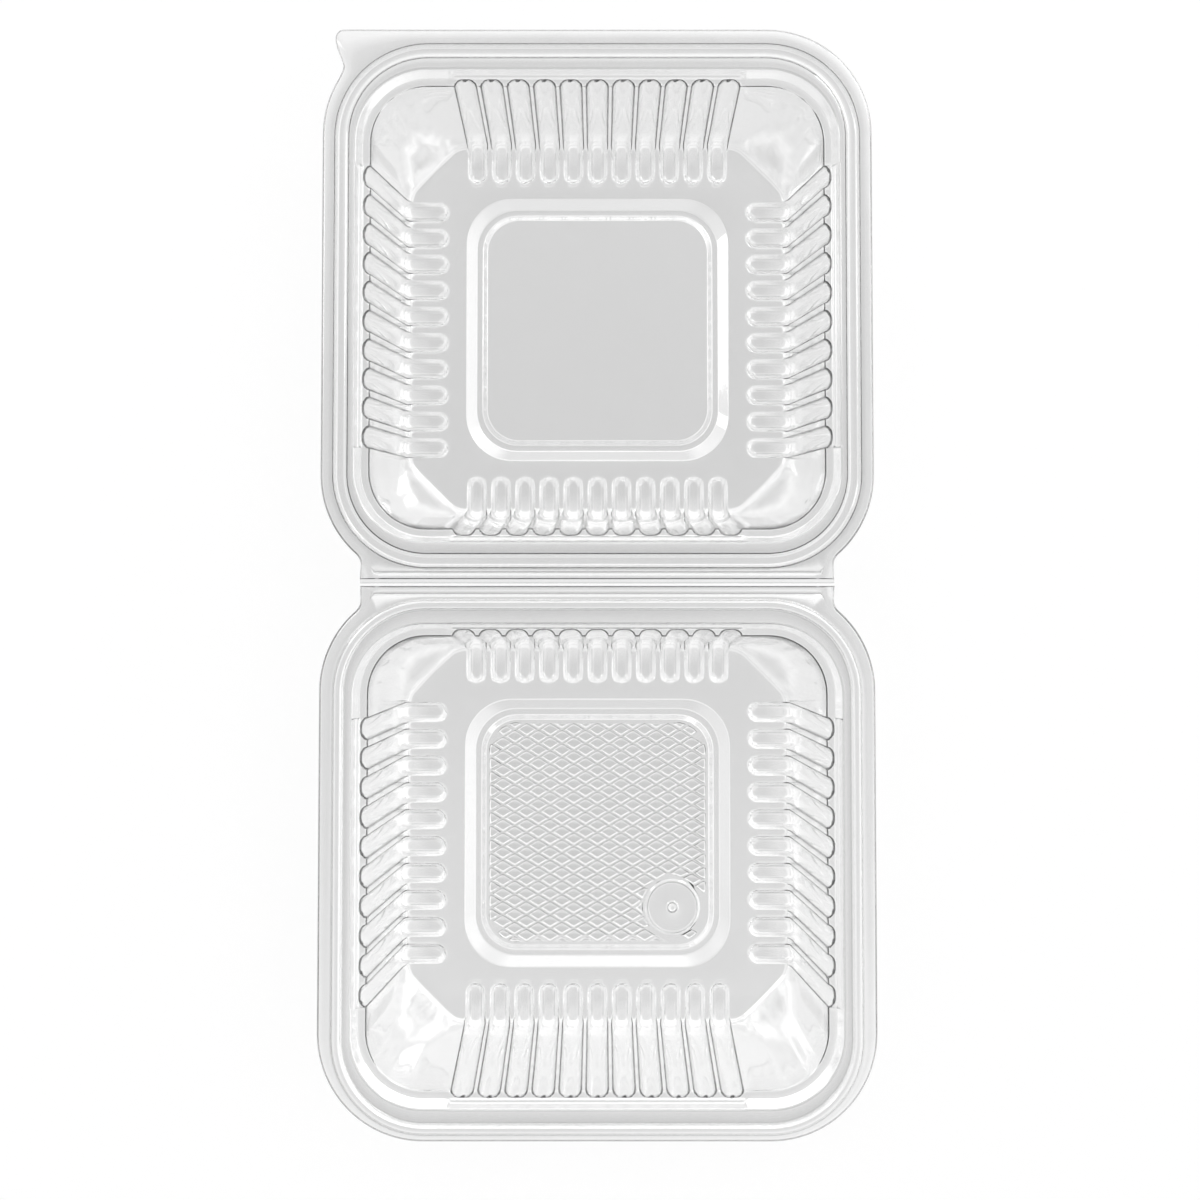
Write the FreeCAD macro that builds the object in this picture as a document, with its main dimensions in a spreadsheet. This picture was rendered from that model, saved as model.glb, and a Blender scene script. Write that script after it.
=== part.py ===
import FreeCAD, Part
import math
import os

# Clear hinged food clamshell: two square ribbed trays formed from one plastic sheet, opened out flat.
# X runs along the hinge, Y across it (lid towards +Y), Z up. The origin is on the table, under the middle of
# the opened pack. The hinge line is a little nearer to the base's front edge, because the lid's is longer.

V = FreeCAD.Vector
doc = FreeCAD.newDocument("clamshell")
sheet = doc.addObject("Spreadsheet::Sheet", "Sizes")

SIZES = [
    ("wall", 0.4, "thickness of the formed sheet"),
    ("rim_height", 38.0, "table to the upper face of the flange"),
    ("hinge_gap", 0.3, "between the two flanges at the fold, and between them when closed"),
    ("tray_offset", 76.9, "fold line to the centre of each tray"),
    ("mouth_x", 67.2, "half width of the mouth at the rim's inner crease"),
    ("mouth_y", 65.7, "half length of the mouth"),
    ("mouth_radius", 20.0, "corner radius of the mouth"),
    ("shoulder_drop", 3.0, "mouth crease down to the flat shoulder"),
    ("shoulder_run", 1.6, "inward run of the slope above the shoulder"),
    ("foot_x", 58.1, "half width of the tub where wall and floor would meet"),
    ("foot_y", 56.7, "half length of the tub there"),
    ("wall_slope", 0.162, "outward run of the walls for each millimetre of height"),
    ("tub_radius", 16.0, "corner radius of the tub walls"),
    ("facet_floor", 99.3, "x plus y where a corner facet meets the floor"),
    ("facet_slope", 0.8, "growth of x plus y up a corner facet, for each millimetre of height"),
    ("flute_width", 5.9, "width of a flute at the face of wall or floor"),
    ("flute_flat", 2.7, "width of its flat bottom"),
    ("flute_depth", 1.9, "how far a flute bulges out of the wall"),
    ("finger_depth", 1.4, "how far its finger sinks into the floor"),
    ("finger_end_x", 45.9, "tray centre to the finger tips of the side walls"),
    ("finger_end_y", 45.3, "tray centre to the finger tips of the front and hinge walls"),
    ("finger_slope", 1.2, "run of the sloped finger tip"),
    ("finger_round", 2.3, "how far a tip's corners are drawn back"),
    ("front_pitch", 7.4, "spacing of the flutes along the front and hinge walls"),
    ("front_count", 11, "flutes in the front wall and in the hinge wall"),
    ("side_pitch", 8.11, "spacing of the flutes along the side walls"),
    ("side_count", 10, "flutes in each side wall"),
    ("panel_x", 40.2, "half width of the stepped panel in the floor"),
    ("panel_y", 40.4, "half length of the panel"),
    ("panel_radius", 14.0, "corner radius of the panel"),
    ("ring_drop", 1.8, "floor down to the foot ring that frames the panel"),
    ("ring_run", 3.0, "run of the slope down to the foot ring"),
    ("ring_flat", 2.4, "width of the flat foot ring"),
    ("field_rise", 0.9, "foot ring up to the field inside it"),
    ("field_run", 2.4, "run of the slope up to the field"),
    ("flange_x", 76.3, "half width of the flange"),
    ("flange_back", 76.3, "tray centre to the flange's edge at the hinge"),
    ("base_front", 74.6, "tray centre to the front edge of the base flange"),
    ("lid_front", 77.1, "tray centre to the front edge of the lid flange"),
    ("flange_radius", 29.0, "corner radius of the flange"),
    ("bead_outer", 72.4, "tray centre to the outside of the closing bead"),
    ("bead_width", 3.1, "width of the bead at its foot"),
    ("bead_height", 1.6, "height of the bead"),
    ("bead_lean", 0.7, "inward run of each flank of the bead"),
    ("bead_radius", 25.5, "corner radius of the bead's outside"),
    ("bead_gap", 0.3, "clearance round the bead in the lid's channel"),
    ("strip_x", 65.1, "half length of the hinge strip"),
    ("strip_length", 20.0, "fold line to the strip's root in the flange"),
    ("neck_radius", 4.0, "radius where the flange necks in to the strip"),
    ("crease_offset", 2.3, "fold line to the crease on each side of it"),
    ("crease_width", 1.3, "width of a crease"),
    ("crease_depth", 0.5, "depth of a crease"),
    ("crease_end", 3.1, "end of a crease to the end of the strip"),
    ("ear_reach", 72.6, "tray centre to the tip of the lifting ear"),
    ("ear_waist", 69.9, "tray centre to the waist behind the ear"),
    ("ear_length", 10.1, "front edge of the lid to the waist"),
    ("ear_width", 25.0, "length of the ear's straight front edge"),
    ("ear_radius", 2.2, "radius of the ear's tip"),
    ("overlap", 0.5, "how far joined forms run into each other"),
]
for row, (alias, amount, note) in enumerate(SIZES, start=1):
    sheet.set(f"A{row}", note)
    sheet.set(f"B{row}", str(amount))
    sheet.setAlias(f"B{row}", alias)
doc.recompute()

FLOOR = "(Sizes.wall + Sizes.ring_drop)"
SHOULDER = "(Sizes.rim_height - Sizes.shoulder_drop)"


def size(alias):
    return float(sheet.get(alias))


def value(formula):
    return float(sheet.evalExpression(formula))


def mitre(rise, run):
    """Sideways shift of a bend's corner, for each millimetre that the sheet's other face lies off."""
    return math.tan(math.atan2(size(rise), size(run)) / 2)


def block(name, low, high, at_low, at_high, radius=0.0):
    """Block with sloping sides: x and y limits at its low and high levels, its four corners rounded."""
    wedge = doc.addObject("Part::Wedge", name)
    wedge.Placement = FreeCAD.Placement(V(0, 0, 0), FreeCAD.Rotation(V(1, 0, 0), 90))
    wedge.setExpression("Ymin", low)
    wedge.setExpression("Ymax", high)
    for prefix, (x_low, x_high, y_low, y_high) in (("", at_low), ("2", at_high)):
        wedge.setExpression(f"X{prefix}min", x_low)
        wedge.setExpression(f"X{prefix}max", x_high)
        wedge.setExpression(f"Z{prefix}min", f"-({y_high})")
        wedge.setExpression(f"Z{prefix}max", f"-({y_low})")
    if not radius:
        return wedge
    wedge.recompute()
    rising = []
    for index, edge in enumerate(wedge.Shape.Edges, start=1):
        first, last = edge.Vertexes[0].Point, edge.Vertexes[-1].Point
        if abs(first.z - last.z) > size("wall") / 2:
            rising.append((index, radius, radius))
    rounded = doc.addObject("Part::Fillet", f"{name}_rounded")
    rounded.Base = wedge
    rounded.Edges = rising
    return rounded


def centred(half_x, half_y):
    return (f"-({half_x})", half_x, f"-({half_y})", half_y)


def fuse(name, pieces):
    joined = doc.addObject("Part::MultiFuse", name)
    joined.Shapes = pieces
    return joined


def cut(name, base, tool):
    remainder = doc.addObject("Part::Cut", name)
    remainder.Base = base
    remainder.Tool = tool
    return remainder


# Flutes: each is an L-shaped channel, down the wall and round into a finger in the floor


def flute_section(across, foot, end, grow):
    """Outline of a flute in the plane that lies this far to the side of its middle."""
    shift = grow * mitre("finger_depth", "finger_slope")
    half_width = size("flute_width") / 2 + shift
    half_flat = size("flute_flat") / 2 + shift
    share = min(1.0, (half_width - abs(across)) / (half_width - half_flat))
    floor = value(FLOOR) - grow
    bottom = floor - size("finger_depth") * share
    bulge = size("flute_depth") * share + grow
    top = value(SHOULDER) - grow + size("overlap")
    inside = size("flute_depth") + size("overlap")

    def wall_at(level):
        return foot + size("wall_slope") * (level - value(FLOOR))

    def tip_at(level):
        tip = end + size("finger_round") * (1 - share) - shift
        return tip + size("finger_slope") / size("finger_depth") * (floor - level)

    start = floor + size("overlap") / 2
    points = [
        (tip_at(start), start),
        (tip_at(bottom), bottom),
        (wall_at(bottom) + bulge, bottom),
        (wall_at(top) + bulge, top),
        (wall_at(top) - inside, top),
        (wall_at(floor) - inside, floor + inside),
        (tip_at(start), floor + inside),
    ]
    return [V(across, -out, level) for out, level in points]


def skin(sections):
    """Solid with flat faces between outlines that have the same number of corners."""
    faces = []
    for outline in (sections[0], sections[-1]):
        faces.append(Part.Face(Part.makePolygon(outline + outline[:1])))
    for near, far in zip(sections, sections[1:]):
        for index in range(len(near)):
            following = (index + 1) % len(near)
            corners = [near[index], near[following], far[following], far[index]]
            faces.append(Part.Face(Part.makePolygon(corners + corners[:1])))
    solid = Part.makeSolid(Part.makeShell(faces))
    if solid.Volume < 0:
        solid.reverse()
    return solid


def flute_row(foot, end, pitch, count, grow):
    """A row of flutes along the wall that faces -Y."""
    shift = grow * mitre("finger_depth", "finger_slope")
    half_flat = size("flute_flat") / 2 + shift
    beyond = size("flute_width") / 2 + shift + size("overlap") / 4
    flute = skin([flute_section(x, foot, end, grow) for x in (-beyond, -half_flat, half_flat, beyond)])
    row = []
    for step in range(count):
        copy = flute.copy()
        copy.translate(V((step - (count - 1) / 2) * pitch, 0, 0))
        row.append(copy)
    return row


def flutes(name, grow):
    """The flutes of all four walls, in one compound."""
    front = flute_row(
        size("foot_y"), size("finger_end_y"), size("front_pitch"), int(size("front_count")), grow
    )
    side = flute_row(
        size("foot_x"), size("finger_end_x"), size("side_pitch"), int(size("side_count")), grow
    )
    placed = []
    for turn, row in ((0, front), (90, side), (180, front), (270, side)):
        for flute in row:
            copy = flute.copy()
            copy.rotate(V(0, 0, 0), V(0, 0, 1), turn)
            placed.append(copy)
    group = doc.addObject("Part::Feature", name)
    group.Shape = Part.makeCompound(placed)
    return group


# The tub's form: its inner face with no growth, its outer face one sheet thickness further out


def tub_walls(name, grow):
    def half(foot, level):
        return f"Sizes.{foot} + Sizes.wall_slope * ({level} - {FLOOR}) + {grow}"

    low = f"{FLOOR} - {grow}"
    high = f"{SHOULDER} + Sizes.overlap"
    at_low = centred(half("foot_x", low), half("foot_y", low))
    at_high = centred(half("foot_x", high), half("foot_y", high))
    return block(f"{name}_walls", low, high, at_low, at_high, size("tub_radius") + value(grow))


def tub_mouth(name, grow, high):
    def half(mouth, level):
        slope = "Sizes.shoulder_run / Sizes.shoulder_drop"
        return f"Sizes.{mouth} + {slope} * ({level} - Sizes.rim_height) + {shift}"

    shift = f"{grow} * sqrt(1 + (Sizes.shoulder_run / Sizes.shoulder_drop) ^ 2)"
    low = f"{SHOULDER} - {grow}"
    at_low = centred(half("mouth_x", low), half("mouth_y", low))
    at_high = centred(half("mouth_x", high), half("mouth_y", high))
    return block(f"{name}_mouth", low, high, at_low, at_high, size("mouth_radius") + value(grow))


def foot_ring(name, grow):
    shift = f"{grow} * {mitre('ring_drop', 'ring_run')}"
    slope = "Sizes.ring_run / Sizes.ring_drop"
    low = f"Sizes.wall - {grow}"
    high = f"{FLOOR} - {grow} + Sizes.overlap"
    at_low = [f"Sizes.panel_{side} - Sizes.ring_run + {shift}" for side in "xy"]
    at_high = [f"Sizes.panel_{side} + {slope} * Sizes.overlap + {shift}" for side in "xy"]
    radius = size("panel_radius") - size("ring_run") / 2
    return block(f"{name}_ring", low, high, centred(*at_low), centred(*at_high), radius)


def field_island(name, grow):
    shift = f"{grow} * {mitre('field_rise', 'field_run')}"
    slope = "Sizes.field_run / Sizes.field_rise"
    low = f"Sizes.wall - {grow} - Sizes.overlap"
    high = f"Sizes.wall - {grow} + Sizes.field_rise"
    inner = [f"Sizes.panel_{side} - Sizes.ring_run - Sizes.ring_flat - {shift}" for side in "xy"]
    at_low = [f"{half} + {slope} * Sizes.overlap" for half in inner]
    at_high = [f"{half} - Sizes.field_run" for half in inner]
    radius = size("panel_radius") - size("ring_run") - size("ring_flat")
    return block(f"{name}_island", low, high, centred(*at_low), centred(*at_high), radius)


def corner_facets(name, grow):
    facets = []
    steep = math.sqrt(2 + size("facet_slope") ** 2)
    low = f"{FLOOR} - {grow} - Sizes.overlap"
    high = f"{SHOULDER}"
    for corner in range(4):
        at_level = []
        for level in (low, high):
            near = f"(Sizes.facet_floor + Sizes.facet_slope * ({level} - {FLOOR}) + {grow} * {steep})"
            at_level.append((f"{near} / sqrt(2)", "2 * Sizes.foot_x", "-Sizes.foot_y", "Sizes.foot_y"))
        facet = block(f"{name}_facet{corner + 1}", low, high, *at_level)
        turn = FreeCAD.Rotation(V(0, 0, 1), 45 + 90 * corner)
        facet.Placement.Rotation = turn.multiply(facet.Placement.Rotation)
        facets.append(facet)
    return facets


def tub(name, grow, mouth_top):
    """One face of the tub, as the solid that fills it."""
    solid = fuse(
        f"{name}_form",
        [
            tub_walls(name, grow),
            tub_mouth(name, grow, mouth_top),
            foot_ring(name, grow),
            flutes(f"{name}_flutes", value(grow)),
        ],
    )
    return cut(name, solid, fuse(f"{name}_cuts", corner_facets(name, grow) + [field_island(name, grow)]))


outer = tub("outer", "Sizes.wall", "(Sizes.rim_height - Sizes.wall / 2)")
inner = tub("inner", "0", "(Sizes.rim_height + Sizes.overlap)")


# Rims: flange, closing bead or channel, and half of the creased hinge strip


PLATE = ("Sizes.rim_height - Sizes.wall", "Sizes.rim_height")


def rounded_edges(name, base, radius, wanted):
    """Rounds the upright edges whose middle passes the test."""
    base.recompute(True)
    chosen = []
    for index, edge in enumerate(base.Shape.Edges, start=1):
        middle = edge.CenterOfMass
        upright = abs(middle.z - size("rim_height") + size("wall") / 2) < size("wall") / 8
        if upright and len(edge.Vertexes) == 2 and wanted(middle):
            chosen.append((index, radius, radius))
    rounded = doc.addObject("Part::Fillet", name)
    rounded.Base = base
    rounded.Edges = chosen
    return rounded


def flange(name, front):
    """Flat rim with round corners, necked in to the hinge strip."""
    limits = ("-Sizes.flange_x", "Sizes.flange_x", f"-{front}", "Sizes.flange_back")
    plate = block(f"{name}_plate", *PLATE, limits, limits, size("flange_radius"))
    edge = "Sizes.tray_offset - Sizes.hinge_gap / 2"
    strip_limits = ("-Sizes.strip_x", "Sizes.strip_x", f"{edge} - Sizes.strip_length", edge)
    strip = block(f"{name}_strip", *PLATE, strip_limits, strip_limits)
    joined = fuse(f"{name}_flange", [plate, strip])
    neck_x, neck_y = size("strip_x"), value(edge) - size("wall")

    def at_neck(middle):
        return abs(abs(middle.x) - neck_x) < size("wall") and middle.y < neck_y

    return rounded_edges(f"{name}_neck", joined, size("neck_radius"), at_neck)


def ring(name, low, high, at_low, at_high, radius):
    """Square ring with rounded corners: outer and inner reach from the tray's centre at each level."""
    outside = block(
        f"{name}_outside", low, high, centred(at_low[0], at_low[0]), centred(at_high[0], at_high[0]), radius
    )
    inside = block(
        f"{name}_inside",
        low,
        high,
        centred(at_low[1], at_low[1]),
        centred(at_high[1], at_high[1]),
        radius - size("bead_width"),
    )
    return cut(name, outside, inside)


def crease(name, grow):
    middle = "Sizes.tray_offset - Sizes.crease_offset"
    end = "Sizes.strip_x - Sizes.crease_end"
    high = f"Sizes.rim_height - {grow}"
    low = f"{high} - Sizes.crease_depth"
    half = f"Sizes.crease_width / 2 + {grow} / 2"
    floor = f"Sizes.wall / 4 + {grow} / 2"
    wide = (f"-({end})", end, f"{middle} - ({half})", f"{middle} + {half}")
    narrow = (f"-({end})", end, f"{middle} - ({floor})", f"{middle} + {floor}")
    return block(name, low, high, narrow, wide)


bead_inner = "(Sizes.bead_outer - Sizes.bead_width)"
bead_top = "(Sizes.rim_height + Sizes.bead_height)"
base_bead = ring(
    "base_bead",
    "Sizes.rim_height - Sizes.wall / 2",
    bead_top,
    ("Sizes.bead_outer", bead_inner),
    ("Sizes.bead_outer - Sizes.bead_lean", f"{bead_inner} + Sizes.bead_lean"),
    size("bead_radius"),
)
base_bead_hollow = ring(
    "base_bead_hollow",
    "Sizes.rim_height - Sizes.wall - Sizes.overlap",
    f"{bead_top} - Sizes.wall",
    ("Sizes.bead_outer - Sizes.wall", f"{bead_inner} + Sizes.wall"),
    ("Sizes.bead_outer - Sizes.wall - Sizes.bead_lean", f"{bead_inner} + Sizes.wall + Sizes.bead_lean"),
    size("bead_radius") - size("wall"),
)
channel_floor = "(Sizes.rim_height - Sizes.bead_height + Sizes.hinge_gap - Sizes.bead_gap)"
lid_channel = ring(
    "lid_channel",
    channel_floor,
    "Sizes.rim_height + Sizes.overlap",
    (
        "Sizes.bead_outer + Sizes.bead_gap - Sizes.bead_lean",
        f"{bead_inner} - Sizes.bead_gap + Sizes.bead_lean",
    ),
    ("Sizes.bead_outer + Sizes.bead_gap", f"{bead_inner} - Sizes.bead_gap"),
    size("bead_radius") + size("bead_gap"),
)
lid_channel_wall = ring(
    "lid_channel_wall",
    f"{channel_floor} - Sizes.wall",
    "Sizes.rim_height - Sizes.wall / 2",
    (
        "Sizes.bead_outer + Sizes.bead_gap + Sizes.wall - Sizes.bead_lean",
        f"{bead_inner} - Sizes.bead_gap - Sizes.wall + Sizes.bead_lean",
    ),
    (
        "Sizes.bead_outer + Sizes.bead_gap + Sizes.wall",
        f"{bead_inner} - Sizes.bead_gap - Sizes.wall",
    ),
    size("bead_radius") + size("bead_gap") + size("wall"),
)


def ear():
    """Lifting ear at one front corner of the lid: its outer side leans in to a waist, its tip is round."""
    plate = doc.addObject("Part::Wedge", "lid_ear_plate")
    root = "Sizes.ear_reach - Sizes.ear_width"
    formulas = {
        "Ymin": "-Sizes.lid_front",
        "Ymax": "Sizes.ear_length - Sizes.lid_front",
        "Xmin": root,
        "X2min": root,
        "Xmax": "Sizes.ear_reach",
        "X2max": "Sizes.ear_waist",
    }
    for end in ("", "2"):
        formulas[f"Z{end}min"], formulas[f"Z{end}max"] = PLATE
    for name, formula in formulas.items():
        plate.setExpression(name, formula)

    def at_tip(middle):
        return middle.x > size("ear_waist") and middle.y < size("ear_radius") - size("lid_front")

    return rounded_edges("lid_ear", plate, size("ear_radius"), at_tip)


base_parts = [flange("base", "Sizes.base_front"), base_bead]
base_parts.append(crease("base_crease_back", "Sizes.wall"))
base_solid = fuse("base_solid", base_parts + [outer])
base_voids = fuse("base_voids", [inner, base_bead_hollow, crease("base_crease", "0")])
base_tray = cut("base_tray", base_solid, base_voids)

lid_parts = [flange("lid", "Sizes.lid_front"), ear(), lid_channel_wall]
lid_parts.append(crease("lid_crease_back", "Sizes.wall"))
lid_solid = fuse("lid_solid", lid_parts + [outer])
lid_voids = fuse("lid_voids", [inner, lid_channel, crease("lid_crease", "0")])
lid_tray = cut("lid_tray", lid_solid, lid_voids)

# Both trays stand open on the table, hinge to hinge: the lid is turned half round
fold_y = value("(Sizes.base_front - Sizes.lid_front) / 2")
base_place = V(0, fold_y - size("tray_offset"), 0)
lid_place = V(0, fold_y + size("tray_offset"), 0)
base_tray.Placement = FreeCAD.Placement(base_place, FreeCAD.Rotation())
lid_tray.Placement = FreeCAD.Placement(lid_place, FreeCAD.Rotation(V(0, 0, 1), 180))
doc.recompute()

for item in doc.Objects:
    if "Invalid" in item.State or "Error" in item.State:
        raise RuntimeError(f"{item.Label} failed: {item.State}")

os.makedirs("parts", exist_ok=True)
for tray in (base_tray, lid_tray):
    shape = tray.Shape
    if shape.isNull() or not shape.isValid() or len(shape.Solids) != 1:
        raise RuntimeError(f"{tray.Label} isn't one valid solid")
    shape.exportStep(f"parts/{tray.Label}.step")
    print(tray.Label, round(shape.Volume, 1), "mm3 of sheet")
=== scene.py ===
import math
import bmesh
import bpy
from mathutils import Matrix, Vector
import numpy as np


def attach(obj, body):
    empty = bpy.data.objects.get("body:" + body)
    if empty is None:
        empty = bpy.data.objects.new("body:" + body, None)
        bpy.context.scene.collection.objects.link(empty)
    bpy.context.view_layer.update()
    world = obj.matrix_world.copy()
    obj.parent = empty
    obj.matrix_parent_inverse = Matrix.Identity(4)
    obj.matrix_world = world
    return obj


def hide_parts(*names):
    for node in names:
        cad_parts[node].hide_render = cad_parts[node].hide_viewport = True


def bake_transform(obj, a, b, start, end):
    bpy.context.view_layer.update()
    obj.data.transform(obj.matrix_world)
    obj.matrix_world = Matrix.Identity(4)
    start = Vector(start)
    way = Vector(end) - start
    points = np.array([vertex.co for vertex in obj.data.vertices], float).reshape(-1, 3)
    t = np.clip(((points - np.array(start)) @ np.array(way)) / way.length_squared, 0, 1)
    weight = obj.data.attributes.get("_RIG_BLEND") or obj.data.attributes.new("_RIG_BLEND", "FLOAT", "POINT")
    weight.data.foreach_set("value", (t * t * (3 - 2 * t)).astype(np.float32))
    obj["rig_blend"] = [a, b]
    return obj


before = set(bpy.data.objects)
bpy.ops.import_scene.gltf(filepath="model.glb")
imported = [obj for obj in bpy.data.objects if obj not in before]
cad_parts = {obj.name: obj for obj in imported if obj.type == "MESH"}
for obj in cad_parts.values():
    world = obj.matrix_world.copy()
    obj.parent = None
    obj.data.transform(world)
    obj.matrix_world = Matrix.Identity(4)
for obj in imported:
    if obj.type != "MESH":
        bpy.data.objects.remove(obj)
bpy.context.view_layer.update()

# Studio: a white table under the opened pack, and a pale tent round it that is bright low down, dark overhead
# and lighter on the right behind the lid. Two small lamps give the sharp lights on the plastic. The camera
# hangs above the fold and looks down past it.

MM = 0.001
WHITE = (1, 1, 1, 1)
TABLE_SIZE = 6
LENS = 34.116
SENSOR = 36
LENS_SHIFT = -0.0657
CAMERA_PLACE = (0.00078, 0.00702, 0.3503)
CAMERA_TILT = math.radians(1.58)
TENT_LEVELS = (
    (0.0, 0.3), (0.05, 1.8), (0.34, 1.8), (0.42, 0.5), (0.56, 0.4), (0.64, 1.0), (0.84, 1.0), (0.93, 0.25),
    (1.0, 0.1),
)
LAMPS = {
    "window_light": ((0.5, 0.62, 0.7), (0.28, 0.28), 0.8),
    "fill_light": ((-0.75, 0.35, 0.7), (0.25, 0.5), 0.8),
}


class Socket:
    """A node socket that can be used in sums."""

    def __init__(self, tree, socket):
        self.tree = tree
        self.socket = socket

    def math(self, operation, *others):
        return self.tree.node("ShaderNodeMath", {"operation": operation}, [self, *others])

    def __add__(self, other):
        return self.math("ADD", other)

    def __mul__(self, other):
        return self.math("MULTIPLY", other)


class Finish:
    """A material's node tree, filled one node at a time."""

    def __init__(self, name, block=None):
        self.block = block or bpy.data.materials.new(name)
        self.block.use_nodes = True
        self.tree = self.block.node_tree
        self.tree.nodes.clear()

    def node(self, kind, settings=None, values=None, output=0):
        made = self.tree.nodes.new(kind)
        for setting, value in (settings or {}).items():
            setattr(made, setting, value)
        pairs = enumerate(values) if isinstance(values, (list, tuple)) else (values or {}).items()
        for slot, value in pairs:
            if isinstance(value, Socket):
                self.tree.links.new(value.socket, made.inputs[slot])
            else:
                made.inputs[slot].default_value = value
        return Socket(self, made.outputs[output])

    def ramp(self, share, stops):
        """Grey ramp through the stops, each a place and a level."""
        made = self.tree.nodes.new("ShaderNodeValToRGB")
        ends = made.color_ramp.elements
        while len(ends) < len(stops):
            ends.new(0.5)
        for end, (place, level) in zip(ends, stops):
            end.position = place
            end.color = (level, level, level, 1)
        self.tree.links.new(share.socket, made.inputs[0])
        return Socket(self, made.outputs[0])

    def surface(self, shader):
        kind = "ShaderNodeOutputMaterial" if self.block.id_type == "MATERIAL" else "ShaderNodeOutputWorld"
        made = self.tree.nodes.new(kind)
        self.tree.links.new(shader.socket, made.inputs["Surface"])
        return self.block


def seen_directly(finish):
    """One where the camera looks, straight or by way of a shiny or clear surface."""
    rays = [finish.node("ShaderNodeLightPath", output=name) for name in
            ("Is Camera Ray", "Is Glossy Ray", "Is Transmission Ray")]
    return rays[0].math("MAXIMUM", rays[1]).math("MAXIMUM", rays[2])


bpy.ops.object.select_all(action="DESELECT")
bpy.ops.mesh.primitive_plane_add(size=TABLE_SIZE, location=(0, 0, 0))
table = bpy.context.object
table.name = "table"
paper = Finish("table_white")
matt = paper.node("ShaderNodeBsdfDiffuse", values={"Color": (0.92, 0.92, 0.92, 1)})
lit = paper.node("ShaderNodeEmission", values={"Color": WHITE, "Strength": 1})
table.data.materials.append(
    paper.surface(paper.node("ShaderNodeMixShader", values=[seen_directly(paper) * 0.8, matt, lit]))
)

world = bpy.data.worlds.new("studio")
bpy.context.scene.world = world
room = Finish("studio", world)
view = room.node("ShaderNodeTexCoord", output="Generated")
height = room.node("ShaderNodeVectorMath", {"operation": "DOT_PRODUCT"}, [view, (0, 0, 1)], "Value")
side = room.node("ShaderNodeVectorMath", {"operation": "DOT_PRODUCT"}, [view, (0.6, 0.8, 0)], "Value")
tent = room.ramp(height, TENT_LEVELS)
glow = room.node("ShaderNodeBackground", values={"Color": WHITE, "Strength": tent * (side * 0.7 + 1.25)})
bright = room.node("ShaderNodeBackground", values={"Color": WHITE, "Strength": 1})
straight = room.node("ShaderNodeLightPath", output="Is Camera Ray")
room.surface(room.node("ShaderNodeMixShader", values=[straight, glow, bright]))


def soft_light(name, place, size, watts):
    bpy.ops.object.light_add(type="AREA", location=place)
    lamp = bpy.context.object
    lamp.name = name
    lamp.data.shape = "RECTANGLE"
    lamp.data.size, lamp.data.size_y = size
    lamp.data.energy = watts
    lamp.rotation_euler = (-Vector(place)).to_track_quat("-Z", "Y").to_euler()


for lamp_name, lamp_settings in LAMPS.items():
    soft_light(lamp_name, *lamp_settings)

bpy.ops.object.camera_add(location=CAMERA_PLACE, rotation=(CAMERA_TILT, 0, 0))
camera = bpy.context.object
camera.data.lens = LENS
camera.data.sensor_width = SENSOR
camera.data.shift_y = LENS_SHIFT
bpy.context.scene.camera = camera
bpy.context.scene.view_settings.view_transform = "Standard"

# Clear plastic: one glossy sheet, faintly grey and a little waved by the forming; painted shade makes it darker
# in the lid.
# Painted shade darkens its base colour at tight bends, and painted highlight lightens it along the rounded
# edges of flutes, fingers and facets. It lets most of a lamp's light through, so that its shadow stays pale.

SHEET = 0.38
SMOOTH_ANGLE = math.radians(50)


def clear_plastic():
    finish = Finish("clear_sheet")
    place = finish.node("ShaderNodeTexCoord", output="Object")
    wave = finish.node("ShaderNodeTexNoise", values={"Vector": place, "Scale": 55.0, "Detail": 2.0})
    ripple = finish.node("ShaderNodeBump", values={"Height": wave, "Strength": 0.05, "Distance": 0.002})
    # Painted shade: the sheet's faint grey base colour ramps darker towards the lid.
    toward_lid = finish.node(
        "ShaderNodeVectorMath", {"operation": "DOT_PRODUCT"}, [place, (0, 5, 0)], "Value"
    )
    sheet_grey_and_lid_shade = finish.ramp(toward_lid + 0.5, [(0.1, 0.9), (0.45, 0.88), (0.6, 0.84), (0.9, 0.83)])
    # Painted light in the base colour: above nought is painted shade, below nought is painted highlight.
    bend = finish.node("ShaderNodeAttribute", {"attribute_name": "bend"}, output="Fac")
    glass = finish.node(
        "ShaderNodeBsdfPrincipled",
        values={
            "Base Color": finish.ramp(sheet_grey_and_lid_shade * (bend * -0.5 + 1.0), [(0.0, 0.0), (1.0, 1.0)]),
            "Roughness": 0.06,
            "IOR": 1.57,
            "Transmission Weight": 1.0,
            "Normal": ripple,
        },
    )
    gloss = finish.node(
        "ShaderNodeBsdfAnisotropic", values={"Color": WHITE, "Roughness": 0.05, "Normal": ripple}
    )
    edge = finish.node("ShaderNodeFresnel", values={"IOR": 1.5, "Normal": ripple})
    skin = finish.node("ShaderNodeMixShader", values=[edge * 0.85 + 0.05, glass, gloss])
    clear = finish.node("ShaderNodeBsdfTransparent", values={"Color": (0.93, 0.93, 0.93, 1)})
    shadow = finish.node("ShaderNodeLightPath", output="Is Shadow Ray")
    return finish.surface(finish.node("ShaderNodeMixShader", values=[shadow, skin, clear]))


sheet_finish = clear_plastic()

# The two trays: pressed from one sheet over ribbed moulds. Each has a flange with a lip turned down at its cut
# edge and a bead (base) or a channel (lid), a shoulder, fluted walls whose flutes turn in under the food as
# fingers, and a framed panel. All lengths are in millimetres until the finished skin is scaled.

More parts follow.
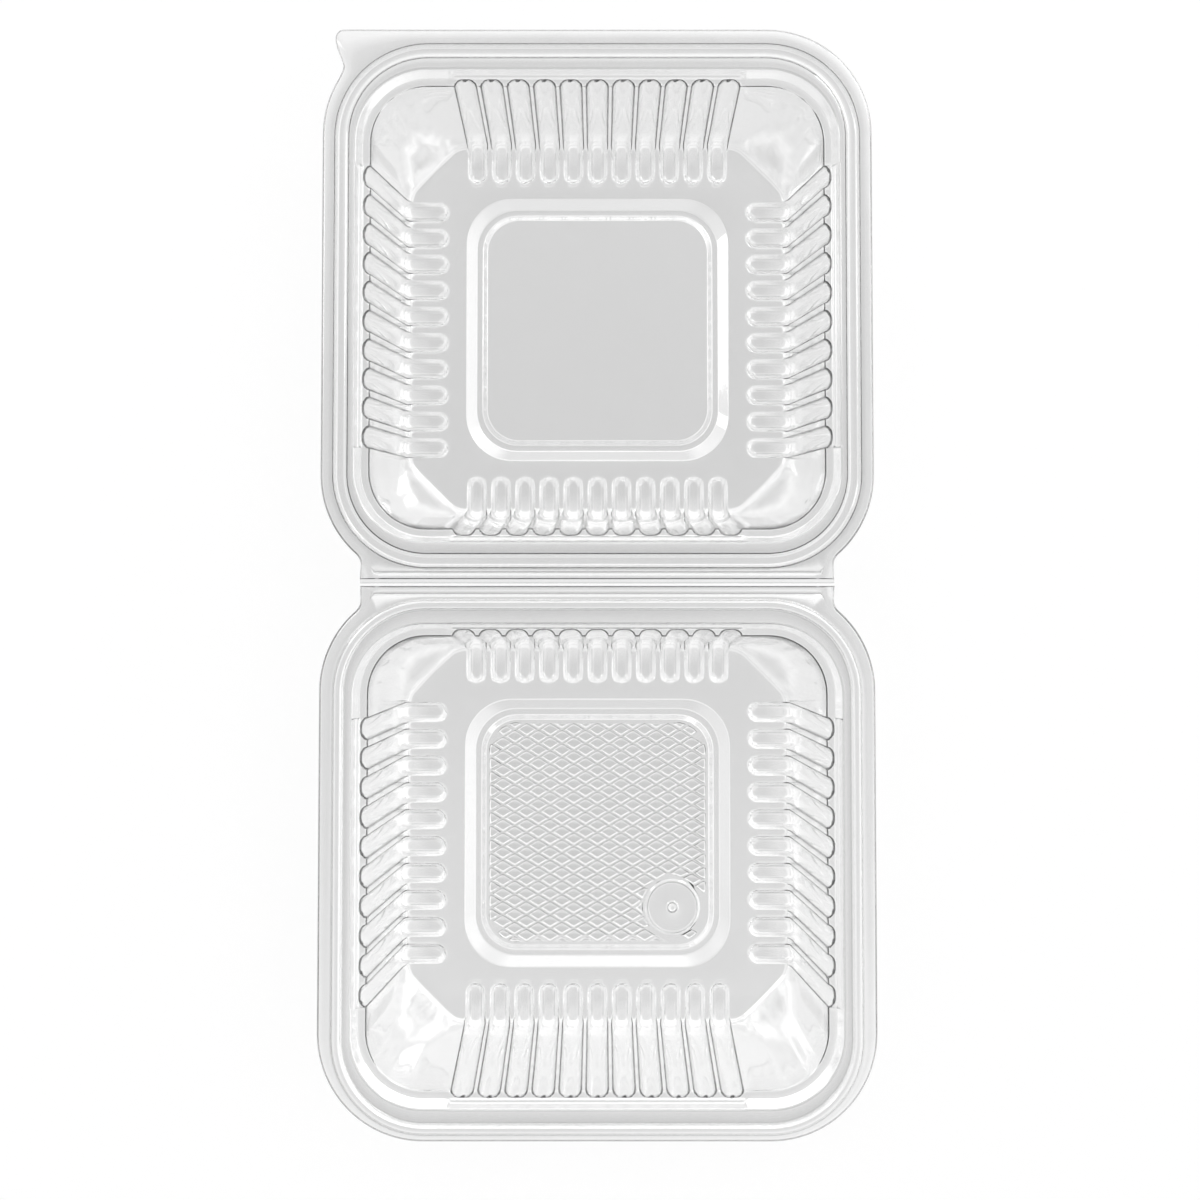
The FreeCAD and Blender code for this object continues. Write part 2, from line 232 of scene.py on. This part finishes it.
FOLD = -1.25
TRAY_OFFSET = 76.9
RIM = 38.0
FLOOR = 2.2
FOOT = {"x": 58.1, "y": 56.7}
TUB_RADIUS = 16.0
WALL_SLOPE = 0.162
SHOULDER = 35.0
FACET_FLOOR = 99.3
FACET_SLOPE = 0.8
FACET_ROUND = 1.8
FLUTE_HALF = 3.0
FLUTE_DEPTH = 1.9
FLUTE_ROWS = {"x": (7.4, 11), "y": (8.11, 10)}
FLUTE_STATIONS = (-3.05, -2.8, -2.35, -1.75, -0.95, 0, 0.95, 1.75, 2.35, 2.8, 3.05)
FINGER_DEPTH = 1.75
FINGER_EDGE = 1.35
FINGER_END = {"x": 45.9, "y": 45.3}
FLANGE_HALF = 76.3
FLANGE_RADIUS = 29.0
LID_FRONT = 77.1
BASE_FRONT = 74.6
STRIP_HALF = 65.1
STRIP_EDGE = 75.9
STRIP_CREASE = ((74.6, 0.0), (74.25, 0.3), (73.95, 0.55), (73.65, 0.3), (73.3, 0.0))
NECK_RADIUS = 4.0
LIP = 0.9
LEDGE = 0.9
BEAD_RISE = 1.6
BEAD_GAP = 0.3
BEAD_EDGES = ((72.4, 25.5), (72.0, 25.2), (69.8, 22.9), (69.3, 22.4))
MOUTH_TOP = (67.2, 65.7, 20.0)
MOUTH_FOOT = (65.6, 64.1, 18.4)
CORNER_LEVELS = (29.0, 23.0, 18.0, 15.0, 12.0, 9.5, 7.0)
SIDE_LEVELS = (33.2, 33.2, 18.0, 18.0, 18.0, 6.5, 6.5)
CORNER_WAVE = 0.24
CORNER_WAVES = 22
FACET_RIB = 0.25
FACET_RIB_WIDTH = 0.9
TIP_STEPS = (3.3, 2.6, 1.9, 1.3, 0.8, 0.4, 0.0)
INNER_END = 3.1
FOOT_RING = 0.4
FIELD = 1.3
PANEL_EDGES = (
    (40.2, 14.0, FLOOR, 1.3, 3),
    (37.2, 12.5, FOOT_RING, 1.1, 3),
    (35.4, 11.0, FOOT_RING, 1.0, 3),
    (34.0, 9.8, FIELD, 1.0, 3),
    (33.2, 9.2, FIELD, 0, 1),
)
EAR_X = 70.6
EAR_ROUND = 2.4
EAR_NECK = (
    (72.85, -73.4), (72.55, -72.0), (72.05, -70.6), (71.45, -69.2), (70.95, -67.9), (70.7, -66.9),
    (70.8, -66.0), (71.15, -65.1), (71.6, -64.2),
)
WELD = 0.02

# Rows of a section line, counted from the flange's edge, and the painted shade put into the base colour at
# bends there; below nought it is painted highlight.

EDGE_PAINTED_SHADE = {0: 1.0, 1: 1.0, 2: 0.9, 3: 0.4, 7: 0.9}
BEAD_PAINTED_SHADE = {10: 0.3, 11: 1.0, 12: 0.4, 21: 0.4, 22: 1.0, 23: 0.3, 25: 0.7}
FOOT_RING_PAINTED_HIGHLIGHT = {60: -0.35, 63: -0.35, 66: -0.35, 69: -0.35}
STRIP_CREASE_ROW = 7
WALL_ROWS = range(38, 45)
FOOT_ROWS = range(45, 50)
FINGER_ROWS = range(50, 58)


def arc(centre_x, centre_y, radius, start, stop, steps):
    """Points along an arc, angles in degrees."""
    points = []
    for step in range(steps + 1):
        angle = math.radians(start + (stop - start) * step / steps)
        points.append((centre_x + radius * math.cos(angle), centre_y + radius * math.sin(angle)))
    return points


def flange_outline(front, ear):
    """The flange's edge from above, the hinge at the back; the lid's has an ear at its right front corner."""
    corner = FLANGE_HALF - FLANGE_RADIUS
    front_corner = front - FLANGE_RADIUS
    neck_x = STRIP_HALF + NECK_RADIUS
    neck_y = corner + math.sqrt((FLANGE_RADIUS + NECK_RADIUS) ** 2 - (neck_x - corner) ** 2)
    turn = math.degrees(math.atan2(neck_y - corner, neck_x - corner))
    right = []
    if ear:
        right += [(47.6, -front)]
        right += arc(EAR_X, -front + EAR_ROUND, EAR_ROUND, -90, 12, 9)
        right += EAR_NECK
        right += arc(corner, -front_corner, FLANGE_RADIUS, -31, 0, 12)
    else:
        right += arc(corner, -front_corner, FLANGE_RADIUS, -90, 0, 32)
    right += arc(corner, corner, FLANGE_RADIUS, 0, turn, 18)
    right += arc(neck_x, neck_y, NECK_RADIUS, 180 + turn, 180, 6)[1:]
    right += [(STRIP_HALF, STRIP_EDGE)]
    left = arc(-corner, -front_corner, FLANGE_RADIUS, -90, -180, 32)
    left += arc(-corner, corner, FLANGE_RADIUS, 180, 180 - turn, 18)
    left += arc(-neck_x, neck_y, NECK_RADIUS, -turn, 0, 6)[1:]
    left += [(-STRIP_HALF, STRIP_EDGE)]
    return right + left[::-1]


def reach_outline(start, way, outline):
    """How far a ray runs to the outline."""
    best = None
    for (ax, ay), (bx, by) in zip(outline, outline[1:] + outline[:1]):
        ex, ey = bx - ax, by - ay
        across = way[0] * ey - way[1] * ex
        if abs(across) < 1e-9:
            continue
        px, py = ax - start[0], ay - start[1]
        far = (px * ey - py * ex) / across
        share = (px * way[1] - py * way[0]) / across
        if far > 0 and -1e-6 <= share <= 1 + 1e-6 and (best is None or far < best):
            best = far
    return best


def reach_square(start, way, half_x, half_y, radius):
    """How far a ray runs to a square outline with round corners."""
    near, far = 0.0, 150.0
    for _ in range(26):
        middle = (near + far) / 2
        x = abs(start[0] + way[0] * middle) - (half_x - radius)
        y = abs(start[1] + way[1] * middle) - (half_y - radius)
        outside = math.hypot(max(x, 0), max(y, 0)) + min(max(x, y), 0) - radius
        if outside > 0:
            far = middle
        else:
            near = middle
    return near


def ease(share):
    """Eased step from nought to one."""
    share = max(0.0, min(1.0, share))
    return share * share * (3 - 2 * share)


def soft_least(one, other, width):
    """The lesser of the two, with the change between them rounded over a width."""
    blend = max(width - abs(one - other), 0) / width
    return min(one, other) - blend * blend * width / 4


def rounded_section(corners):
    """Section line with each corner drawn as an arc: (out, up, radius, points on the arc)."""
    line = []
    for index, (out, up, radius, count) in enumerate(corners):
        if radius == 0 or index in (0, len(corners) - 1):
            line.append((out, up))
            continue
        here = Vector((out, up))
        before = Vector(corners[index - 1][:2]) - here
        after = Vector(corners[index + 1][:2]) - here
        if before.length < 1e-6 or after.length < 1e-6:
            line += [(out, up)] * count
            continue
        turn = math.pi - before.angle(after)
        cut = min(radius * math.tan(turn / 2), before.length * 0.48, after.length * 0.48)
        first, last = here + before.normalized() * cut, here + after.normalized() * cut
        for step in range(count):
            share = step / (count - 1)
            point = first * (1 - share) ** 2 + here * 2 * share * (1 - share) + last * share ** 2
            line.append(tuple(point))
    return line


def turned(point, quarter):
    """The point after so many quarter turns."""
    x, y = point
    for _ in range(quarter):
        x, y = -y, x
    return x, y


def stations(outline):
    """Start, direction and distance to the nearest flute's middle, all the way round the tray."""
    ring = []
    for quarter in range(4):
        along, off = ("x", "y") if quarter % 2 == 0 else ("y", "x")
        length = FOOT[along] - TUB_RADIUS
        distance = FOOT[off] - TUB_RADIUS
        pitch, count = FLUTE_ROWS[along]
        places = [(-length, None), (-length + 1.1, None)]
        for flute in range(count):
            middle = (flute - (count - 1) / 2) * pitch
            for aside in FLUTE_STATIONS:
                places.append((middle + aside, abs(aside)))
            if flute < count - 1:
                places.append((middle + pitch / 2, None))
        places += [(length - 1.1, None), (length, None)]
        for place, aside in places:
            start = turned((place, -distance), quarter)
            ring.append((start, turned((0, -1), quarter), aside, along))
        centre = turned((length, -distance), quarter)
        angles = {-90 + 3 * step for step in range(1, 30)}
        for x, y in outline:
            angle = math.degrees(math.atan2(y - centre[1], x - centre[0])) - 90 * quarter
            angle = (angle + 180) % 360 - 180
            if -66 < angle < -24 and math.hypot(x, y) > 95:
                angles.add(angle)
        last = -90
        for angle in sorted(angles):
            if angle - last > 0.6:
                way = math.radians(angle + 90 * quarter)
                ring.append((centre, (math.cos(way), math.sin(way)), None, along))
                last = angle
    return ring


def strip_crease(start, way, edge, bead):
    """Points of the pressed crease beside the fold, or level points where the flange has none."""
    line = []
    for across, drop in STRIP_CREASE:
        out = (across - start[1]) / way[1] if way[1] > 0.3 else 0
        along = abs(start[0] + way[0] * out)
        if bead < out < edge and along < STRIP_HALF - 2:
            line.append((out, RIM - drop * ease((STRIP_HALF - 2 - along) / 1.5), 0, 1))
        else:
            line.append(((edge + bead) / 2, RIM, 0, 1))
    return line


def tray_section(start, way, aside, along, outline, bead_rise, slack):
    """Section line of the tray at one station, from the flange's edge in to the finger tips, and the painted
    light of each
    level of its wall: painted shade on the corner facets and painted highlight along their rounded edges."""
    off = "y" if along == "x" else "x"
    origin = FOOT[off] - TUB_RADIUS

    def square(half_x, half_y, radius):
        return reach_square(start, way, half_x, half_y, radius)

    def bead_edge(index, growth):
        half, radius = BEAD_EDGES[index]
        return square(half + growth, half + growth, radius + growth)

    flute = 0.0 if aside is None or aside > FLUTE_HALF else (1 - (aside / FLUTE_HALF) ** 2.4) ** 0.6
    finger = 0.0 if aside is None else ease((FLUTE_HALF - aside) / FINGER_EDGE)

    painted_facet_light = []

    def wall(level):
        rise = level - FLOOR
        face = square(FOOT["x"] + WALL_SLOPE * rise, FOOT["y"] + WALL_SLOPE * rise, TUB_RADIUS)
        if abs(way[0] * way[1]) > 0.01:
            corner = math.atan2(abs(way[1]), abs(way[0]))
            wave = CORNER_WAVE * math.sin(corner * 2) ** 2 * math.cos(corner * CORNER_WAVES)
            face += wave * ease(rise / 20) * ease((33 - rise) / 6)
        facet = FACET_FLOOR + FACET_SLOPE * rise - abs(start[0]) - abs(start[1])
        facet /= abs(way[0]) + abs(way[1])
        facet_edge = math.exp(-((face - facet) / FACET_RIB_WIDTH) ** 2)
        # Painted shade on the facets and painted highlight along their rounded edges, for the base colour.
        painted_facet_light.append(0.2 * ease(face - facet - 1.2) - 0.3 * facet_edge)
        return soft_least(face, facet, FACET_ROUND) - FACET_RIB * facet_edge + FLUTE_DEPTH * flute

    low = FLOOR - FINGER_DEPTH * finger
    edge = reach_outline(start, way, outline)
    bead = bead_edge(0, slack)
    at_fold = start[1] + way[1] * edge > STRIP_EDGE - 0.05
    lip = [(edge, RIM - (0.04 if at_fold else LIP), 0, 1), (edge - (0.05 if at_fold else 0.4), RIM, 0.9, 4)]
    across, length = (start if along == "x" else start[::-1])[0], FOOT[along] - TUB_RADIUS
    ledge = LEDGE if abs(across) < length - 1.2 else 0.0
    mouth = square(*MOUTH_FOOT)
    corners = lip + strip_crease(start, way, edge - 0.6, bead) + [
        (bead, RIM, 0.4, 3),
        (bead_edge(1, slack), RIM + bead_rise, 0.95, 4),
        (bead_edge(2, -slack), RIM + bead_rise, 0.95, 4),
        (bead_edge(3, -slack), RIM, 0.4, 3),
        (square(*MOUTH_TOP), RIM, 0.9, 3),
        (mouth + ledge, SHOULDER + 0.7 * ledge, 0.5, 3),
        (mouth + 0.2 * ledge - 0.05, SHOULDER + 0.6 * ledge, 0.3, 2),
        (mouth - 0.15, SHOULDER, 0.5, 3),
        (wall(SHOULDER), SHOULDER, 0.7, 3),
    ]
    for level in CORNER_LEVELS if way[0] * way[1] != 0 else SIDE_LEVELS:
        corners.append((wall(level), level, 0, 1))
    corners.append((wall(low), low, 2.4 + 1.4 * flute, 5))
    tip = FINGER_END[off] - origin
    corners.append((tip + 5.2, low, 0, 1))
    section = rounded_section(corners + [(tip + 5.0, low, 0, 1)])[:-1]
    for beyond in TIP_STEPS:
        out = tip + beyond
        depth = 0.0
        if aside is not None:
            inside = FLUTE_HALF - math.hypot(aside, max(FLUTE_HALF - beyond, 0))
            depth = FINGER_DEPTH * ease(inside / FINGER_EDGE)
        section.append((out, FLOOR - depth))
    section.append((INNER_END, FLOOR))
    return section, painted_facet_light


def bend_tones(points, aside, painted_facet_light):
    """Painted light along a section: above nought paints shade into the sheet's base colour at a bend, below
    nought paints a highlight.
    """
    tones = [0.0] * len(points)
    for row, tone in {**EDGE_PAINTED_SHADE, **BEAD_PAINTED_SHADE, **FOOT_RING_PAINTED_HIGHLIGHT}.items():
        if row > STRIP_CREASE_ROW or points[row][2] < RIM - 0.1:
            tones[row] = tone
    for row, tone in zip(WALL_ROWS, painted_facet_light[1:]):
        tones[row] = tone
    # Painted highlight at the foot of the wall in the middle of each flute.
    if aside is not None and aside < 1.2:
        for row in FOOT_ROWS:
            tones[row] = -0.3
    # Painted highlight along the slopes of each finger.
    for row in FINGER_ROWS:
        share = max(0, min(1, (FLOOR - points[row][2]) / FINGER_DEPTH))
        tones[row] = -1.6 * share * (1 - share)
    return tones


def panel_section(way, first):
    """Section line on towards the tray's middle: the sunk foot ring, and the field it frames."""
    corners = [(first, FLOOR, 0, 1)]
    for half, radius, up, rounding, count in PANEL_EDGES:
        corners.append((reach_square((0, 0), way, half, half + 0.2, radius), up, rounding, count))
    return rounded_section(corners)[1:]


def pressed_tray(outline, bead_rise, slack):
    """The whole tray as one skin, drawn from its sections, open in the middle of its floor."""
    shell = bmesh.new()
    bends = shell.verts.layers.float.new("bend")
    columns = []
    for start, way, aside, along in stations(outline):
        section, painted_facet_light = tray_section(start, way, aside, along, outline, bead_rise, slack)
        points = [(start[0] + way[0] * out, start[1] + way[1] * out, up) for out, up in section]
        x, y, _ = points[-1]
        first = math.hypot(x, y)
        inward = (x / first, y / first)
        for out, up in panel_section(inward, first):
            points.append((inward[0] * out, inward[1] * out, up))
        columns.append([shell.verts.new(point) for point in points])
        # Each vertex gets its painted shade or painted highlight for the sheet's base colour.
        for vert, tone in zip(columns[-1], bend_tones(points, aside, painted_facet_light)):
            vert[bends] = tone
    for one, other in zip(columns, columns[1:] + columns[:1]):
        for row in range(len(one) - 1):
            shell.faces.new((one[row], one[row + 1], other[row + 1], other[row]))
    return shell, [column[-1] for column in columns]


def sheet_piece(name, skin, thickness):
    """Makes a piece of a skin, with the sheet's thickness below it."""
    mesh = bpy.data.meshes.new(name)
    skin.to_mesh(mesh)
    skin.free()
    piece = bpy.data.objects.new(name, mesh)
    bpy.context.scene.collection.objects.link(piece)
    bpy.ops.object.select_all(action="DESELECT")
    bpy.context.view_layer.objects.active = piece
    piece.select_set(True)
    thick = piece.modifiers.new("sheet", "SOLIDIFY")
    thick.thickness = thickness * MM
    thick.offset = -1
    bpy.ops.object.modifier_apply(modifier=thick.name)
    return piece


def finish_tray(shell, name, body, turn, shift):
    """Merges the skin, gives it the sheet's thickness and sets it in its place."""
    bmesh.ops.remove_doubles(shell, verts=shell.verts, dist=WELD)
    shell.normal_update()
    bmesh.ops.reverse_faces(shell, faces=[face for face in shell.faces if face.normal.z < 0])
    bmesh.ops.scale(shell, vec=(MM, MM, MM), verts=shell.verts)
    tray = sheet_piece(name, shell, SHEET)
    tray.rotation_euler.z = turn
    tray.location.y = shift * MM
    bpy.ops.object.transform_apply(location=True, rotation=True, scale=True)
    bpy.ops.object.shade_smooth_by_angle(angle=SMOOTH_ANGLE)
    tray.data.materials.append(sheet_finish)
    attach(tray, body)
    return tray


lid_shell, lid_middle = pressed_tray(flange_outline(LID_FRONT, True), -BEAD_RISE, BEAD_GAP)
lid_shell.faces.new(lid_middle)
lid = finish_tray(lid_shell, "lid_sheet", "lid", math.pi, FOLD + TRAY_OFFSET)
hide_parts("lid_tray")

base_shell, _ = pressed_tray(flange_outline(BASE_FRONT, False), BEAD_RISE, 0)

# Field of the base's panel: rows of shallow pressed diamonds between raised lines, and a plain round pad near
# one corner with a small ring in its middle. The sheet is the same one as the tray's.

FIELD_HALF = {"x": 33.0, "y": 33.2}
FIELD_RADIUS = 9.0
DIAMOND_X = 7.2
DIAMOND_Y = 4.15
LEAST_DIAMOND = 0.95
# Loops of each diamond: inset, drop, and painted light for the base colour (painted highlight below nought,
# painted shade above).
DIAMOND_LOOPS = ((0.26, 0.0, 0), (0.36, 0.1, -0.4), (0.56, 0.36, -0.4), (0.66, 0.4, 0.2))
PAD = (22.75, -22.5)
PAD_RADIUS = 8.6
PAD_SIDES = 48


def diamond_lattice():
    """Cells between the lines, cleared round the pad and cut to the field's round-cornered square."""
    lattice = bmesh.new()
    corners = {}
    pad = Vector((*PAD, FIELD))
    clear = PAD_RADIUS + 0.5
    for column in range(-10, 11):
        for row in range(-17, 18):
            if (column + row) % 2 == 0:
                continue
            keys = [(column + 1, row), (column, row + 1), (column - 1, row), (column, row - 1)]
            places = [Vector((x * DIAMOND_X / 2, y * DIAMOND_Y / 2, FIELD)) for x, y in keys]
            if all((place - pad).length < clear for place in places):
                continue
            for key, place in zip(keys, places):
                away = place - pad
                if key not in corners:
                    corners[key] = lattice.verts.new(pad + away * max(1, clear / away.length))
            lattice.faces.new([corners[key] for key in keys])
    inner_x, inner_y = FIELD_HALF["x"] - FIELD_RADIUS, FIELD_HALF["y"] - FIELD_RADIUS
    for side_x, side_y in ((1, 1), (-1, 1), (-1, -1), (1, -1)):
        for step in range(7):
            angle = math.radians(15 * step)
            outward = Vector((side_x * math.cos(angle), side_y * math.sin(angle), 0))
            centre = Vector((side_x * inner_x, side_y * inner_y, FIELD))
            geom = lattice.verts[:] + lattice.edges[:] + lattice.faces[:]
            bmesh.ops.bisect_plane(lattice, geom=geom, plane_co=centre + outward * FIELD_RADIUS,
                                   plane_no=outward, clear_outer=True, dist=0.001)
    return lattice


def pressed_diamonds(shell):
    """Sets each cell down between its raised lines; cells too narrow for it stay level."""
    lattice = diamond_lattice()
    bmesh.ops.remove_doubles(lattice, verts=lattice.verts, dist=0.05)
    bends = shell.verts.layers.float["bend"]
    made = {vert: shell.verts.new(vert.co) for vert in lattice.verts}
    for cell in lattice.faces:
        ring = [made[vert] for vert in cell.verts]
        middle = sum((vert.co for vert in cell.verts), Vector()) / len(cell.verts)
        inner = 2 * cell.calc_area() / cell.calc_perimeter()
        if inner > LEAST_DIAMOND:
            for inset, drop, tone in DIAMOND_LOOPS:
                share = 1 - inset / inner
                level = Vector((0, 0, -drop))
                loop = [shell.verts.new(middle + (vert.co - middle) * share + level) for vert in cell.verts]
                # Painted highlight or painted shade for this loop, from DIAMOND_LOOPS.
                for vert in loop:
                    vert[bends] = tone
                for index in range(len(ring)):
                    after = (index + 1) % len(ring)
                    shell.faces.new((ring[index], ring[after], loop[after], loop[index]))
                ring = loop
        shell.faces.new(ring)
    lattice.free()


def round_pad(shell):
    """Round pad with a small raised ring in the middle."""
    section = rounded_section([
        (PAD_RADIUS, FIELD, 0, 1),
        (8.4, FIELD, 0.4, 3),
        (7.9, FIELD + 0.4, 0.4, 4),
        (7.4, FIELD + 0.4, 0.3, 3),
        (7.1, FIELD + 0.25, 0.3, 3),
        (2.0, FIELD + 0.25, 0.1, 3),
        (1.6, FIELD + 0.6, 0.2, 3),
        (1.2, FIELD + 0.6, 0.2, 3),
        (0.8, FIELD + 0.25, 0, 1),
    ])
    loops = []
    for out, up in section:
        circle = arc(*PAD, out, 0, 360, PAD_SIDES)[:-1]
        loops.append([shell.verts.new((x, y, up)) for x, y in circle])
    for one, other in zip(loops, loops[1:]):
        for index in range(PAD_SIDES):
            after = (index + 1) % PAD_SIDES
            shell.faces.new((one[index], one[after], other[after], other[index]))
    shell.faces.new(loops[-1])


round_pad(base_shell)
pressed_diamonds(base_shell)
bmesh.ops.remove_doubles(base_shell, verts=base_shell.verts, dist=WELD)
open_edges = [
    edge for edge in base_shell.edges
    if edge.is_boundary and all(abs(vert.co.z - FIELD) < 0.01 for vert in edge.verts)
    and all(math.hypot(vert.co.x, vert.co.y) < 50 for vert in edge.verts)
]
bmesh.ops.triangle_fill(base_shell, use_beauty=True, use_dissolve=False, edges=open_edges, normal=(0, 0, 1))
base = finish_tray(base_shell, "base_sheet", "base", 0, FOLD - TRAY_OFFSET)
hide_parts("base_tray")

# Hinge: the narrow web of the same sheet between the two flanges, pressed thinner along the fold so that it
# bends there. It joins both trays and bulges out behind the pack when the lid is down.

WEB_HALF = TRAY_OFFSET - STRIP_EDGE
WEB_SHEET = 0.3
WEB_DROP = 0.3
WEB_STEPS = 12
WEB_PLACES = 40


def web_skin():
    skin = bmesh.new()
    rows = []
    for step in range(WEB_STEPS + 1):
        across = -WEB_HALF + 2 * WEB_HALF * step / WEB_STEPS
        drop = WEB_DROP * ease(1 - abs(across) / WEB_HALF)
        row = []
        for place in range(WEB_PLACES + 1):
            along = -STRIP_HALF + 2 * STRIP_HALF * place / WEB_PLACES
            row.append(skin.verts.new(Vector((along, FOLD + across, RIM - drop)) * MM))
        rows.append(row)
    for one, other in zip(rows, rows[1:]):
        for place in range(WEB_PLACES):
            skin.faces.new((one[place], one[place + 1], other[place + 1], other[place]))
    return skin


web = sheet_piece("hinge_web", web_skin(), WEB_SHEET)
bpy.ops.object.shade_smooth_by_angle(angle=SMOOTH_ANGLE)
web.data.materials.append(sheet_finish)
web_start = (0, (FOLD - WEB_HALF) * MM, RIM * MM)
web_end = (0, (FOLD + WEB_HALF) * MM, RIM * MM)
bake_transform(web, "base", "lid", start=web_start, end=web_end)
